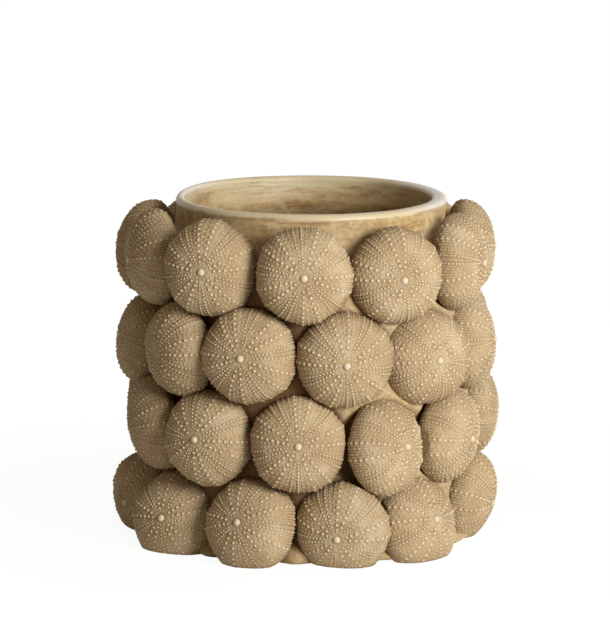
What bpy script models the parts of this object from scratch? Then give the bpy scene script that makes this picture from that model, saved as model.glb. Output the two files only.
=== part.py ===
"""A cachepot clad in sea urchin shells, at its real size, in metres.

A turned pot stands on a flared foot, and its shoulder draws in to a thick lip.
Rings of whole shells are set on its wall, like scales half a place out of step.
Each shell is flattened where it meets the next one, ground at its back to the
curve of the wall, and in the lowest ring cut level with the foot.

+Z is up, the front is towards -Y, and the origin is the middle of the underside.
"""

import math

import bmesh
import bpy
from mathutils import Matrix, Vector

# The shells: a whole urchin shell is a flattened ball with five soft lobes and a knob on top.
# Its front is deeper than its back, measured from the widest girdle.
SHELL_DIAMETER = 0.0615
SHELL_FRONT = 0.0202
SHELL_BACK = 0.0130
SHELL_FULLNESS = 2.1
SHELL_LOBE = 0.0005
LOBES = 5

# The rows of beads stand out as ridges, three to a lobe: a pair beside the middle of its broad
# field and one along the narrow field. Angles are in degrees from the middle of the lobe.
RIDGES = (10.4, 36.0, 61.6)
FURROW_DEPTH = 0.0007

KNOB_DIAMETER = 0.0054
KNOB_HEIGHT = 0.0016

# How the shells sit: the rings from the floor up, and how much of each back is ground away
SHELLS_PER_RING = 11
FIRST_RING_HEIGHT = 0.0218
RING_PITCH = 0.0546
GRIND_DEPTH = 0.0070

# The pot
WALL_RADIUS = 0.0990
WALL_THICKNESS = 0.0090
FLOOR_THICKNESS = 0.0100
FLOOR_FILLET = 0.0080
FOOT_FLARE = 0.0050
FOOT_HEIGHT = 0.0110
FOOT_EDGE = 0.0015
SHOULDER_HEIGHT = 0.0200
COLLAR_RADIUS = 0.0884
COLLAR_HEIGHT = 0.0160
LIP_WIDTH = 0.0077
LIP_OUTER_ROUND = 0.0030
LIP_INNER_ROUND = 0.0018
LIP_OUTSIDE_SHIFT = 0.0018
LIP_INSIDE_SHIFT = -0.0004

# The glue line between a shell and whatever it is set against
GLUE_GAP = 0.0003

# Facets
POT_STEPS = 42
SHELL_BACK_ANGLES = (113.0, 140.0)

# Belts on the front of a shell: the share of its radius, and of the furrows' full depth
SHELL_FRONT_BELTS = ((0.45, 0.0), (0.80, 0.8), (1.0, 1.0))

# Each ring's name and the angle of its first shell from the front, in degrees
RINGS = (
    ("bottom", 12.0),
    ("lower", -5.0),
    ("upper", 12.5),
    ("top", -1.0),
)

# Shells set by hand, seen from the front: the place in the ring counted from its first shell,
# then degrees along the ring, millimetres up, degrees swung sideways, degrees tipped back
# and the turn of its five lobes in degrees.
HAND_SET = {
    "top": (
        (-4, 0.0, -6.5, 0, 0, 30),
        (-3, 1.5, -1.2, -14, 5, 20),
        (-2, 0.0, 1.5, -6, -1, 21),
        (-1, -2.0, 2.0, 18, 2, 17),
        (0, -0.5, 1.0, 1, 4, 63),
        (1, -0.5, -2.0, -15, 1, 25),
        (2, -2.0, 0.0, 12, 0, 60),
        (3, 4.0, -2.0, -9, 1, 15),
        (4, 2.0, -4.0, 0, 0, 0),
        (5, 0.0, -4.5, 3, 0, 42),
        (6, 0.0, -4.5, -3, 0, 64),
    ),
    "upper": (
        (-3, 1.0, -3.2, 8, 12, 35),
        (-2, 3.0, 1.0, -8, -2, 41),
        (-1, -0.5, 3.0, 4, 5, 44),
        (0, 0.0, 1.0, -9, 0, 25),
        (1, -0.5, -2.5, -17, 3, 26),
        (2, -3.0, -1.5, 8, 5, 66),
    ),
    "lower": (
        (-3, -8.0, 0.0, -6, 0, 50),
        (-2, 4.0, 1.5, -9, -8, 25),
        (-1, 1.0, 1.5, 8, 7, 63),
        (0, 1.5, 1.5, 3, 9, 13),
        (1, -1.0, -3.0, 24, 10, 31),
        (2, -4.0, -2.0, 6, -4, 40),
        (3, -0.5, 0.0, 5, -7, 10),
    ),
    "bottom": (
        (-3, 1.0, -0.9, 32, -5, 1),
        (-2, -0.5, -2.8, 24, 13, 28),
        (-1, 0.5, 2.0, -8, 18, 39),
        (0, 0.0, 1.0, -24, -7, 7),
        (1, -4.3, -2.2, 6, 20, 16),
        (2, -1.0, 3.7, -2, -12, 28),
    ),
}

# The wobble of the other shells: how far a shell may stray from its place each way
STRAY_ALONG = 1.2
STRAY_UP = 1.2
STRAY_SWING = 6.0
STRAY_TIP = 4.0

POT_COLOUR = (0.56, 0.41, 0.24, 1.0)
SHELL_COLOUR = (0.45, 0.33, 0.20, 1.0)


def clear_scene():
    for old in list(bpy.data.objects):
        bpy.data.objects.remove(old, do_unlink=True)


def make_material(name, colour, roughness):
    material = bpy.data.materials.new(name)
    material.use_nodes = True
    shader = material.node_tree.nodes["Principled BSDF"]
    shader.inputs["Base Color"].default_value = colour
    shader.inputs["Roughness"].default_value = roughness
    shader.inputs["Metallic"].default_value = 0.0
    material.diffuse_color = colour
    return material


def add_empty(name, parent=None):
    empty = bpy.data.objects.new(name, None)
    empty.empty_display_size = 0.02
    empty.parent = parent
    bpy.context.scene.collection.objects.link(empty)
    return empty


def add_object(name, mesh, material, parent=None):
    obj = bpy.data.objects.new(name, mesh)
    bpy.context.scene.collection.objects.link(obj)
    obj.parent = parent
    if material is not None:
        mesh.materials.append(material)
    return obj


def ease(start, end, steps):
    """Points of a soft S from start to end, without the first: each is (radius, height)."""
    points = []
    for step in range(1, steps + 1):
        share = step / steps
        across = (1.0 - math.cos(math.pi * share)) / 2.0
        radius = start[0] + (end[0] - start[0]) * across
        height = start[1] + (end[1] - start[1]) * share
        points.append((radius, height))
    return points


def quarter(centre, radius, start_angle, end_angle, steps):
    """Points along an arc, both ends included."""
    points = []
    for step in range(steps + 1):
        angle = math.radians(start_angle + (end_angle - start_angle) * step / steps)
        points.append((centre[0] + radius * math.cos(angle), centre[1] + radius * math.sin(angle)))
    return points


def ring_height(ring):
    return FIRST_RING_HEIGHT + ring * RING_PITCH


def shoulder_start():
    """The wall is straight up to the middle of the top ring."""
    return ring_height(len(RINGS) - 1)


def shoulder_end():
    return shoulder_start() + SHOULDER_HEIGHT


def lip_top():
    return shoulder_end() + COLLAR_HEIGHT


def outer_profile():
    """The outside of the pot, from the edge of its underside to the top of its lip."""
    foot_radius = WALL_RADIUS + FOOT_FLARE
    foot_side = FOOT_EDGE + (FOOT_HEIGHT - FOOT_EDGE) * 0.25
    points = quarter((foot_radius - FOOT_EDGE, FOOT_EDGE), FOOT_EDGE, -90.0, 0.0, 2)
    points.append((foot_radius, foot_side))
    points += ease((foot_radius, foot_side), (WALL_RADIUS, FOOT_HEIGHT), 2)
    points.append((WALL_RADIUS, shoulder_start()))
    points += ease((WALL_RADIUS, shoulder_start()), (COLLAR_RADIUS, shoulder_end()), 4)
    lip_centre = (COLLAR_RADIUS - LIP_OUTER_ROUND, lip_top() - LIP_OUTER_ROUND)
    points += quarter(lip_centre, LIP_OUTER_ROUND, 0.0, 90.0, 3)
    return points


def inner_profile():
    """The inside of the pot, from the top of its lip down to the edge of its floor."""
    mouth_radius = COLLAR_RADIUS - LIP_WIDTH
    room_radius = WALL_RADIUS - WALL_THICKNESS
    lip_centre = (mouth_radius + LIP_INNER_ROUND, lip_top() - LIP_INNER_ROUND)
    points = quarter(lip_centre, LIP_INNER_ROUND, 90.0, 180.0, 2)
    points.append((mouth_radius, shoulder_end()))
    points += ease((mouth_radius, shoulder_end()), (room_radius, shoulder_start()), 3)
    fillet_centre = (room_radius - FLOOR_FILLET, FLOOR_THICKNESS + FLOOR_FILLET)
    points += quarter(fillet_centre, FLOOR_FILLET, 0.0, -90.0, 3)
    return points


def sideways(height, shift):
    """The lip isn't quite round the pot's axis: the shift grows from the shoulder up."""
    share = (height - shoulder_start()) / (lip_top() - shoulder_start())
    return shift * min(1.0, max(0.0, share))


def lathe(name, profile, steps):
    """A closed solid turned from (radius, height, shift) points, with flat ends."""
    work = bmesh.new()
    circles = []
    for radius, height, shift in profile:
        circle = []
        for step in range(steps):
            angle = 2.0 * math.pi * step / steps
            x = radius * math.cos(angle) + shift
            circle.append(work.verts.new((x, radius * math.sin(angle), height)))
        circles.append(circle)
    for low, high in zip(circles, circles[1:]):
        for step in range(steps):
            after = (step + 1) % steps
            work.faces.new((low[step], low[after], high[after], high[step]))
    work.faces.new(list(reversed(circles[0])))
    work.faces.new(circles[-1])
    mesh = bpy.data.meshes.new(name)
    work.to_mesh(mesh)
    work.free()
    return mesh


def smooth(mesh, sharp_degrees=35.0):
    mesh.shade_smooth()
    mesh.set_sharp_from_angle(angle=math.radians(sharp_degrees))


def make_vessel(material, parent):
    outside = [(r, z, sideways(z, LIP_OUTSIDE_SHIFT)) for r, z in outer_profile()]
    inside = [(r, z, sideways(z, LIP_INSIDE_SHIFT)) for r, z in inner_profile()]
    mesh = lathe("vessel", outside + inside, POT_STEPS)
    smooth(mesh)
    return add_object("vessel", mesh, material, parent)


def make_seat_cutter(parent):
    """The outside of the pot grown by the glue line. It grinds the backs of the shells."""
    clear_of_floor = -SHELL_DIAMETER
    clear_of_lip = lip_top() + SHELL_DIAMETER
    profile = outer_profile()
    points = [(profile[0][0] + FOOT_EDGE + GLUE_GAP, clear_of_floor, 0.0)]
    for r, z in profile[2:]:
        points.append((r + GLUE_GAP, z, sideways(z, LIP_OUTSIDE_SHIFT)))
    points.append((profile[-1][0] + GLUE_GAP, clear_of_lip, LIP_OUTSIDE_SHIFT))
    cutter = add_object("seat_cutter", lathe("seat_cutter", points, POT_STEPS), None, parent)
    cutter.hide_render = True
    cutter.display_type = "WIRE"
    return cutter


def back_point(polar):
    """Radius and height on the back of a whole shell at an angle from its knob, in degrees."""
    power = 2.0 / SHELL_FULLNESS
    radius = SHELL_DIAMETER / 2.0 * math.sin(math.radians(polar)) ** power
    height = -SHELL_BACK * abs(math.cos(math.radians(polar))) ** power
    return radius, height


def front_height(radius):
    """How far the front of a whole shell stands off its girdle at a radius."""
    share = radius / (SHELL_DIAMETER / 2.0)
    return SHELL_FRONT * (1.0 - share ** SHELL_FULLNESS) ** (1.0 / SHELL_FULLNESS)


def row_angles():
    """Angles round a shell, in degrees: each ridge, and after it the furrow that follows."""
    pitch = 360.0 / LOBES
    angles = []
    for lobe in range(LOBES):
        for ridge, after in zip(RIDGES, RIDGES[1:] + (RIDGES[0] + pitch,)):
            angles.append(lobe * pitch + ridge)
            angles.append(lobe * pitch + (ridge + after) / 2.0)
    return angles


def add_circle(work, radius, height, angles, turn, furrow):
    """A circle of points on a shell, every second one sunk towards the middle by the furrow."""
    circle = []
    for number, degrees in enumerate(angles):
        angle = math.radians(degrees + turn)
        lobe = SHELL_LOBE * math.cos(LOBES * math.radians(degrees))
        reach = radius + lobe * radius / (SHELL_DIAMETER / 2.0)
        left = 1.0 - furrow * (number % 2) / math.hypot(radius, height)
        circle.append(
            work.verts.new((reach * left * math.cos(angle), reach * left * math.sin(angle), height * left))
        )
    return circle


def whole_shell(turn):
    """A shell before it is set, knob towards +Z, as a bmesh. Turn swings its lobes, in degrees."""
    angles = row_angles()
    ridges = angles[::2]
    knob_radius = KNOB_DIAMETER / 2.0
    knob_foot = front_height(knob_radius)
    work = bmesh.new()
    circles = [
        add_circle(work, knob_radius * 0.6, knob_foot + KNOB_HEIGHT, ridges[::3], turn, 0.0),
        add_circle(work, knob_radius, knob_foot, ridges, turn, 0.0),
    ]
    for share, depth_share in SHELL_FRONT_BELTS:
        radius = share * SHELL_DIAMETER / 2.0
        around = angles if depth_share > 0.0 else ridges
        furrow = FURROW_DEPTH * depth_share
        circles.append(add_circle(work, radius, front_height(radius), around, turn, furrow))
    for polar in SHELL_BACK_ANGLES:
        radius, height = back_point(polar)
        circles.append(add_circle(work, radius, height, ridges, turn, 0.0))
    for upper, lower in zip(circles, circles[1:]):
        if len(upper) > len(lower):
            join_circles(work, lower, upper)
        else:
            join_circles(work, upper, lower)
    work.faces.new(circles[0])
    work.faces.new(circles[-1])
    return work


def join_circles(work, few, many):
    """A belt of faces between two circles, one of which may have two or three times the points."""
    ratio = len(many) // len(few)
    half = (ratio + 1) // 2
    for step, corner in enumerate(few):
        next_corner = few[(step + 1) % len(few)]
        fan = [many[(step * ratio + k) % len(many)] for k in range(ratio + 1)]
        if ratio == 1:
            work.faces.new((corner, fan[0], fan[1], next_corner))
            continue
        for k in range(ratio):
            work.faces.new((corner if k < half else next_corner, fan[k], fan[k + 1]))
        work.faces.new((corner, fan[half], next_corner))


def cut_level(work, point, away):
    """Takes off what lies past a plane and closes the cut."""
    geometry = list(work.verts) + list(work.edges) + list(work.faces)
    bmesh.ops.bisect_plane(
        work, geom=geometry, dist=1e-6, plane_co=point, plane_no=away, clear_outer=True
    )
    rim = [edge for edge in work.edges if edge.is_boundary]
    if rim:
        bmesh.ops.edgeloop_fill(work, edges=rim)


def shell_places():
    """Name, ring, middle, outward direction and turn of every shell."""
    middle_radius = WALL_RADIUS + SHELL_BACK - GRIND_DEPTH
    places = []
    for ring, (ring_name, first_angle) in enumerate(RINGS):
        hand_set = {entry[0] % SHELLS_PER_RING: entry[1:] for entry in HAND_SET[ring_name]}
        for place in range(SHELLS_PER_RING):
            wave = place * 2.1 + ring * 1.7
            along, up, swing, tip, turn = hand_set.get(
                place,
                (
                    STRAY_ALONG * math.sin(wave),
                    STRAY_UP * math.sin(wave * 1.6),
                    STRAY_SWING * math.sin(wave * 0.9 + 1.0),
                    STRAY_TIP * math.sin(wave * 1.3 + 2.0),
                    360.0 / LOBES * math.sin(wave * 2.3),
                ),
            )
            angle = math.radians(first_angle + place * 360.0 / SHELLS_PER_RING + along)
            height = ring_height(ring) + up / 1000.0
            middle = Vector((middle_radius * math.sin(angle), -middle_radius * math.cos(angle), height))
            facing = angle + math.radians(swing)
            tipped = math.radians(tip)
            outward = Vector(
                (
                    math.sin(facing) * math.cos(tipped),
                    -math.cos(facing) * math.cos(tipped),
                    math.sin(tipped),
                )
            )
            places.append((f"urchin_{ring_name}_{place + 1:02d}", ring, middle, outward, turn))
    return places


def standing_matrix(middle, outward):
    """Local +Z points outward and local +Y leans up."""
    right = Vector((0.0, 0.0, 1.0)).cross(outward).normalized()
    up = outward.cross(right)
    turned = Matrix((right, up, outward)).transposed()
    return Matrix.Translation(middle) @ turned.to_4x4()


def make_shell(place, places, seat_cutter, material, parent):
    name, ring, middle, outward, turn = place
    stand = standing_matrix(middle, outward)
    work = whole_shell(turn)
    work.transform(stand)
    for other in places:
        way = other[2] - middle
        if other is place or way.length > SHELL_DIAMETER * 1.1:
            continue
        towards = way.normalized()
        face_point = middle + way / 2.0 - towards * (GLUE_GAP / 2.0)
        cut_level(work, face_point, towards)
    cut_level(work, Vector((0.0, 0.0, 0.0)), Vector((0.0, 0.0, -1.0)))
    work.transform(stand.inverted())
    bmesh.ops.remove_doubles(work, verts=list(work.verts), dist=0.00003)
    bmesh.ops.recalc_face_normals(work, faces=list(work.faces))
    mesh = bpy.data.meshes.new(name)
    work.to_mesh(mesh)
    work.free()
    smooth(mesh)
    shell = add_object(name, mesh, material, parent)
    shell.matrix_world = stand
    grind = shell.modifiers.new("ground_back", "BOOLEAN")
    grind.operation = "DIFFERENCE"
    grind.object = seat_cutter
    grind.solver = "EXACT"
    return shell


def main():
    clear_scene()
    pot_material = make_material("pot_cast_tan", POT_COLOUR, 0.55)
    shell_material = make_material("urchin_shell_tan", SHELL_COLOUR, 0.7)
    whole = add_empty("cachepot")
    make_vessel(pot_material, whole)
    seat_cutter = make_seat_cutter(whole)
    ring_empties = []
    for ring, (ring_name, first_angle) in enumerate(RINGS):
        empty = add_empty(f"ring_{ring_name}", whole)
        empty.location = (0.0, 0.0, ring_height(ring))
        ring_empties.append(empty)
    bpy.context.view_layer.update()
    places = shell_places()
    for place in places:
        make_shell(place, places, seat_cutter, shell_material, ring_empties[place[1]])
    bpy.context.view_layer.update()


main()
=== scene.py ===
"""The looks of a cachepot clad in sea urchin shells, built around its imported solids.

Each shell is one mesh: a dome with its knob, rows of beads and furrows between the rows.
The pot is one turned mesh whose wall rises to meet the shells. All sizes are in metres
unless a name or a comment says millimetres.
"""

from collections import namedtuple
from math import cos, hypot, pi, radians, sin

import bpy
import numpy as np
from bpy.props import EnumProperty, FloatProperty, FloatVectorProperty, IntProperty, PointerProperty
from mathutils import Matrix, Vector
from mathutils.geometry import delaunay_2d_cdt


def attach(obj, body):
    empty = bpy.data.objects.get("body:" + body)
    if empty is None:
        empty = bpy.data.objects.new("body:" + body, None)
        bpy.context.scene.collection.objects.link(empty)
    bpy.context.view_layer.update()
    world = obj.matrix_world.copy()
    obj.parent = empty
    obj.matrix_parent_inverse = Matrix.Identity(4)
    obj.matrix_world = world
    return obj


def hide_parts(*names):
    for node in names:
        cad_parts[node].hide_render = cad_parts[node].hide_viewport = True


bl_info = {
    "name": "Urchin Cachepot",
    "version": (1, 0, 0),
    "blender": (4, 5, 0),
    "location": "View3D > Sidebar > Cachepot",
    "description": "Builds a cachepot clad in sea urchin shells, with its materials and a plain stage",
    "category": "Add Mesh",
}

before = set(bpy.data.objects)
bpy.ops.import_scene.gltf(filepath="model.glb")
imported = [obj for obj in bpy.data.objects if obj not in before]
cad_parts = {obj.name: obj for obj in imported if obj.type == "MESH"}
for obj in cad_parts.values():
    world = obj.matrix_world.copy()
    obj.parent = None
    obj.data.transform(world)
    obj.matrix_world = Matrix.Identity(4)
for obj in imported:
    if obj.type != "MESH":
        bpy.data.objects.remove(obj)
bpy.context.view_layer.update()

MM = 0.001
TURN = 2.0 * pi

# Where the shells sit, as in the solids: each ring's name and the angle of its first shell
RINGS = (("bottom", 12.0), ("lower", -5.0), ("upper", 12.5), ("top", -1.0))
SHELLS_PER_RING = 11
FIRST_RING_HEIGHT = 0.0218
RING_PITCH = 0.0546
MIDDLE_RADIUS = 0.1050
LOBES = 5
FIELD = 360.0 / LOBES

# The glue line between two shells
GLUE_GAP = 0.0003

# Place in the ring from its first shell, then degrees along, millimetres up, degrees swung
# sideways, degrees tipped back, and the turn of its broad fields in degrees
HAND_SET = {
    "top": (
        (-4, 0.0, -6.5, 0, 0, 30),
        (-3, 1.5, -1.2, -14, 5, 20),
        (-2, 0.0, 1.5, -6, -1, 21),
        (-1, -2.0, 2.0, 18, 2, 17),
        (0, -0.5, 1.0, 1, 4, 63),
        (1, -0.5, -2.0, -15, 1, 25),
        (2, -2.0, 0.0, 12, 0, 60),
        (3, 4.0, -2.0, -9, 1, 15),
        (4, 2.0, -4.0, 0, 0, 0),
        (5, 0.0, -4.5, 3, 0, 42),
        (6, 0.0, -4.5, -3, 0, 64),
    ),
    "upper": (
        (-3, 1.0, -3.2, 8, 12, 35),
        (-2, 3.0, 1.0, -8, -2, 41),
        (-1, -0.5, 3.0, 4, 5, 44),
        (0, 0.0, 1.0, -9, 0, 25),
        (1, -0.5, -2.5, -17, 3, 26),
        (2, -3.0, -1.5, 8, 5, 66),
    ),
    "lower": (
        (-3, -8.0, 0.0, -6, 0, 50),
        (-2, 4.0, 1.5, -9, -8, 25),
        (-1, 1.0, 1.5, 8, 7, 63),
        (0, 1.5, 1.5, 3, 9, 13),
        (1, -1.0, -3.0, 24, 10, 31),
        (2, -4.0, -2.0, 6, -4, 40),
        (3, -0.5, 0.0, 5, -7, 10),
    ),
    "bottom": (
        (-3, 1.0, -0.9, 32, -5, 1),
        (-2, -0.5, -2.8, 24, 13, 28),
        (-1, 0.5, 2.0, -8, 18, 39),
        (0, 0.0, 1.0, -24, -7, 7),
        (1, -4.3, -2.2, 6, 20, 16),
        (2, -1.0, 3.7, -2, -12, 28),
    ),
}

# How a shell that isn't listed strays, in the same order: reach, rate and start of its wave
STRAY = ((1.2, 1.0, 0.0), (1.2, 1.6, 0.0), (6.0, 0.9, 1.0), (4.0, 1.3, 2.0), (FIELD, 2.3, 0.0))

# Rows of beads: degrees from the middle of a broad field, then millimetres along the shell
# from its knob to the first bead, from bead to bead, a bead's radius and the height of its rib.
# A row off the middle of its field has a twin on the other side.
BEAD_ROWS = (
    (10.4, 6.5, 3.75, 0.94, 0.26),
    (31.0, 6.9, 2.45, 0.66, 0.24),
    (3.4, 15.0, 3.75, 0.54, 0.24),
    (17.4, 13.5, 2.90, 0.54, 0.24),
    (24.3, 14.5, 2.60, 0.52, 0.24),
    (36.0, 20.0, 2.40, 0.36, 0.16),
    (7.0, 24.0, 2.40, 0.31, 0.14),
    (14.0, 23.0, 2.40, 0.31, 0.14),
    (20.9, 24.0, 2.40, 0.31, 0.14),
    (0.0, 24.0, 2.40, 0.31, 0.14),
    (27.7, 25.0, 2.40, 0.30, 0.14),
)

# The ring of beads around the knob: millimetres along the shell, count, radius
KNOB_RING = (4.65, 11, 0.48)

# Beads with a larger radius than the first, in millimetres, are the large ones, and those up to
# the second are the small ones
LARGE_BEAD = 0.60
SMALL_BEAD = 0.36

# How far beads keep apart and the ground keeps off them, as shares of their radii
BEAD_SPACING = 1.14
GROUND_SPACING = 1.42

# The main rows, in degrees from the middle of a broad field, with broad furrows between them
MAIN_RIDGES = (10.4, 36.0, 61.6)

# The ground starts this far from the knob, in millimetres along the shell, and goes on by half
# lanes. It follows the rows where the shell's radius is larger than this.
GROUND_START = 4.5
HALF_LANE = 0.75
ROWS_RADIUS = 12.0
BEADED_END = 47.5
SKIN_END = 53.0

# Circles of the knob and its seat: millimetres from the middle, lift, tint. The low tint of the moat paints wash and
# shade into it.
KNOB_CIRCLES = (
    (0.85, 1.50, 1.00),
    (1.55, 1.16, 1.00),
    (2.02, 0.62, 0.97),
    (2.26, 0.05, 0.55),
    (2.54, -0.28, 0.02),
    (2.94, -0.18, 0.14),
    (3.34, 0.10, 0.52),
    (3.74, -0.04, 0.34),
)
KNOB_STEPS = 18
KNOB_TOP = 1.60
KNOB_END = 3.6

# Shells whose knob is worn away, with the degrees their beads are turned further
WORN_KNOBS = {"urchin_upper_10": 46.0}

# The pot's foot, lip and floor
POT_STEPS = 360
FOOT_FLARE = 0.0050
FOOT_EDGE = 0.0025
FOOT_BAND = 0.0040
FOOT_HEIGHT = 0.0150
NECK_DRAW = 0.0006
LIP_ROUND = 0.0036
LIP_BAND = 0.0038
LIP_DIP = 0.0001
MOUTH_ROUND = 0.0026
FLOOR_FILLET = 0.0080

# The wall starts to rise this far from the middles of the shells, and is at its full rise here
WEB_START = 0.0262
WEB_FULL = 0.0335

# Where the wall is filled out between the shells: degrees to the right of the front, then
# height, reach and rise in millimetres
FILLED_WEBS = (
    (-4.8, 2.0, 8.0, 7.0),
    (28.8, 2.0, 10.0, 9.0),
    (60.0, 199.0, 10.0, 13.0),
    (-36.0, 1.0, 9.0, 9.0),
    (40.0, 1.0, 8.0, 8.0),
    (68.0, 1.0, 9.0, 9.0),
    (100.0, 213.0, 6.5, 3.6),
)

# The worn look of the pot: the heights where cream gives way to honey, outside and inside, a
# crack under the lip from left to right, and a pale patch and a chip, each left to right and up
CREAM_OUTSIDE = (0.2168, 0.2192)
CREAM_INSIDE = (0.203, 0.222)
CRACK_HEIGHT = 0.2163
CRACK_ENDS = (-0.026, 0.016)
PATCH_PLACE = (-0.029, 0.1955)
CHIP_PLACE = (-0.0215, 0.2146)
BUMP_HEIGHT = 0.0003

# The stage: the lamps face one point, and the camera looks a little down
LAMP_TARGET = (0.0, 0.0, 0.11)
KEY_REACH = 1.9
TOP_PLACE = (0.2, 0.1, 1.7)
CAMERA_PLACE = (-0.0022, -2.2027, 0.5644)
CAMERA_TILT = 79.04
CAMERA_LENS = 191.65

ShellPlace = namedtuple("ShellPlace", "node ring middle outward turn")


def length_setting(name, description, default):
    return FloatProperty(name=name, description=description, default=default, subtype="DISTANCE")


def colour_setting(name, description, default):
    return FloatVectorProperty(name=name, description=description, default=default, subtype="COLOR")


class CachepotShellSizes(bpy.types.PropertyGroup):
    """Sizes of one urchin shell"""

    diameter: length_setting("Diameter", "Across a shell at its widest", 0.0615)
    front_depth: length_setting("Front depth", "From the girdle to the seat of the knob", 0.0202)
    back_depth: length_setting("Back depth", "From the girdle to the back", 0.0130)
    fullness: FloatProperty(
        name="Fullness", description="Exponent of the outline seen from the side; 2 is an ellipse", default=2.1
    )
    lobe: length_setting("Lobe", "How far the broad fields swell out", 0.0005)
    furrow: length_setting("Furrow", "Depth between the rows of beads", 0.00042)
    main_furrow: length_setting("Main furrow", "Depth between the main rows", 0.00040)
    bead_rise: FloatProperty(
        name="Bead rise", description="Height of a bead as a share of its radius", default=0.85
    )
    patterns: IntProperty(
        name="Patterns", description="How many bead patterns the shells share", default=6, min=1
    )


class CachepotPotSizes(bpy.types.PropertyGroup):
    """Sizes of the turned pot"""

    wall_radius: length_setting("Wall radius", "Outside of the wall", 0.0990)
    wall_thickness: length_setting("Wall thickness", "From outside to inside", 0.0090)
    floor_thickness: length_setting("Floor thickness", "Of the closed floor", 0.0100)
    collar_radius: length_setting("Collar radius", "Outside of the collar", 0.0884)
    shoulder_height: length_setting("Shoulder height", "Of the drawn-in shoulder", 0.0200)
    collar_height: length_setting("Collar height", "From the shoulder to the lip's top", 0.0160)
    lip_width: length_setting("Lip width", "From the collar to the mouth", 0.0077)
    web_rise: length_setting("Web rise", "How far the wall rises between the shells", 0.0048)


class CachepotColours(bpy.types.PropertyGroup):
    """Colours of the shells and the pot"""

    shell_ground: colour_setting("Shell ground", "Between the beads", (0.485, 0.368, 0.215))
    shell_stain: colour_setting("Shell stain", "Darker patches of the wash", (0.37, 0.263, 0.145))
    shell_dust: colour_setting("Shell dust", "Pale dusting of the ground", (0.60, 0.505, 0.35))
    # Dark wash with painted shade: the furrows, moats and the valleys at the girdle are painted dark where shade
    # falls.
    furrow_wash_and_shade: colour_setting("Shell furrow", "Wash in the furrows", (0.12, 0.066, 0.028))
    bead_cream: colour_setting("Bead cream", "Worn tops of the beads", (0.69, 0.58, 0.385))
    knob_ivory: colour_setting("Knob ivory", "The knobs", (0.60, 0.54, 0.41))
    pot_cream: colour_setting("Pot cream", "The lip and the band inside", (0.56, 0.475, 0.30))
    # Painted sheen: the near white painted on the lip at its left and right ends, where the glaze catches
    # reflections.
    lip_sheen_colour: colour_setting("Pot white", "The worn edge of the lip", (0.77, 0.755, 0.70))
    pot_straw: colour_setting("Pot straw", "Yellow patches in the honey", (0.63, 0.49, 0.27))
    pot_honey: colour_setting("Pot honey", "The collar and the webs", (0.57, 0.405, 0.18))
    pot_brown: colour_setting("Pot brown", "Streaks and worn spots", (0.28, 0.165, 0.065))
    # Painted shade: the near black of the hollow wall between the shells.
    recess_shade_colour: colour_setting("Pot recess", "The wall between the shells", (0.13, 0.060, 0.021))


class CachepotStage(bpy.types.PropertyGroup):
    """Lamps, floor and camera"""

    key_power: FloatProperty(name="Key power", description="Of the large soft lamp", default=39.5, unit="POWER")
    key_azimuth: FloatProperty(name="Key azimuth", description="Degrees to the right of the front", default=39.0)
    key_elevation: FloatProperty(name="Key elevation", description="Degrees above level", default=18.0)
    top_power: FloatProperty(name="Top power", description="Of the lamp overhead", default=2.5, unit="POWER")
    world_light: FloatProperty(name="World light", description="Even light from all around", default=0.178)
    world_colour: colour_setting("World colour", "Of the even light", (1.0, 0.74, 0.43))


def setting_names(settings):
    return [key for key in settings.bl_rna.properties.keys() if key not in ("rna_type", "name")]


def smoothstep(value, low, high):
    share = np.clip((value - low) / (high - low), 0.0, 1.0)
    return share * share * (3.0 - 2.0 * share)


# The shells


def shell_places():
    """Where every shell sits and which way it faces."""
    places = []
    for ring, (ring_name, first_angle) in enumerate(RINGS):
        hand_set = {entry[0] % SHELLS_PER_RING: entry[1:] for entry in HAND_SET[ring_name]}
        for place in range(SHELLS_PER_RING):
            wave = place * 2.1 + ring * 1.7
            stray = [reach * sin(wave * rate + start) for reach, rate, start in STRAY]
            along, up, swing, tip, turn = hand_set.get(place, stray)
            angle = radians(first_angle + place * 360.0 / SHELLS_PER_RING + along)
            height = FIRST_RING_HEIGHT + ring * RING_PITCH + up * MM
            middle = Vector((MIDDLE_RADIUS * sin(angle), -MIDDLE_RADIUS * cos(angle), height))
            facing = angle + radians(swing)
            tipped = radians(tip)
            outward = Vector(
                (sin(facing) * cos(tipped), -cos(facing) * cos(tipped), sin(tipped))
            )
            node = f"urchin_{ring_name}_{place + 1:02d}"
            places.append(ShellPlace(node, ring_name, middle, outward, turn))
    return places


class ShellProfile:
    """Radius, height and outward direction along a shell, from its knob over the girdle."""

    def __init__(self, sizes):
        angles = np.radians(np.concatenate([np.linspace(0.0, 90.0, 241), np.linspace(90.0, 165.0, 160)[1:]]))
        power = 2.0 / sizes.fullness
        depth = np.where(angles <= pi / 2.0, sizes.front_depth, sizes.back_depth) / MM
        cosine = np.cos(angles)
        self.radius = sizes.diameter / 2.0 / MM * np.sin(angles) ** power
        self.height = np.sign(cosine) * depth * np.abs(cosine) ** power
        steps = np.hypot(np.diff(self.radius), np.diff(self.height))
        self.along = np.concatenate([[0.0], np.cumsum(steps)])
        run = np.gradient(self.radius, self.along)
        fall = np.gradient(self.height, self.along)
        size = np.hypot(run, fall)
        self.outward = -fall / size
        self.forward = run / size

    def at(self, along):
        """Radius, height and outward direction at places along the shell."""
        table = (self.radius, self.height, self.outward, self.forward)
        return [np.interp(along, self.along, values) for values in table]

    def radius_at(self, along):
        return float(np.interp(along, self.along, self.radius))


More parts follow.
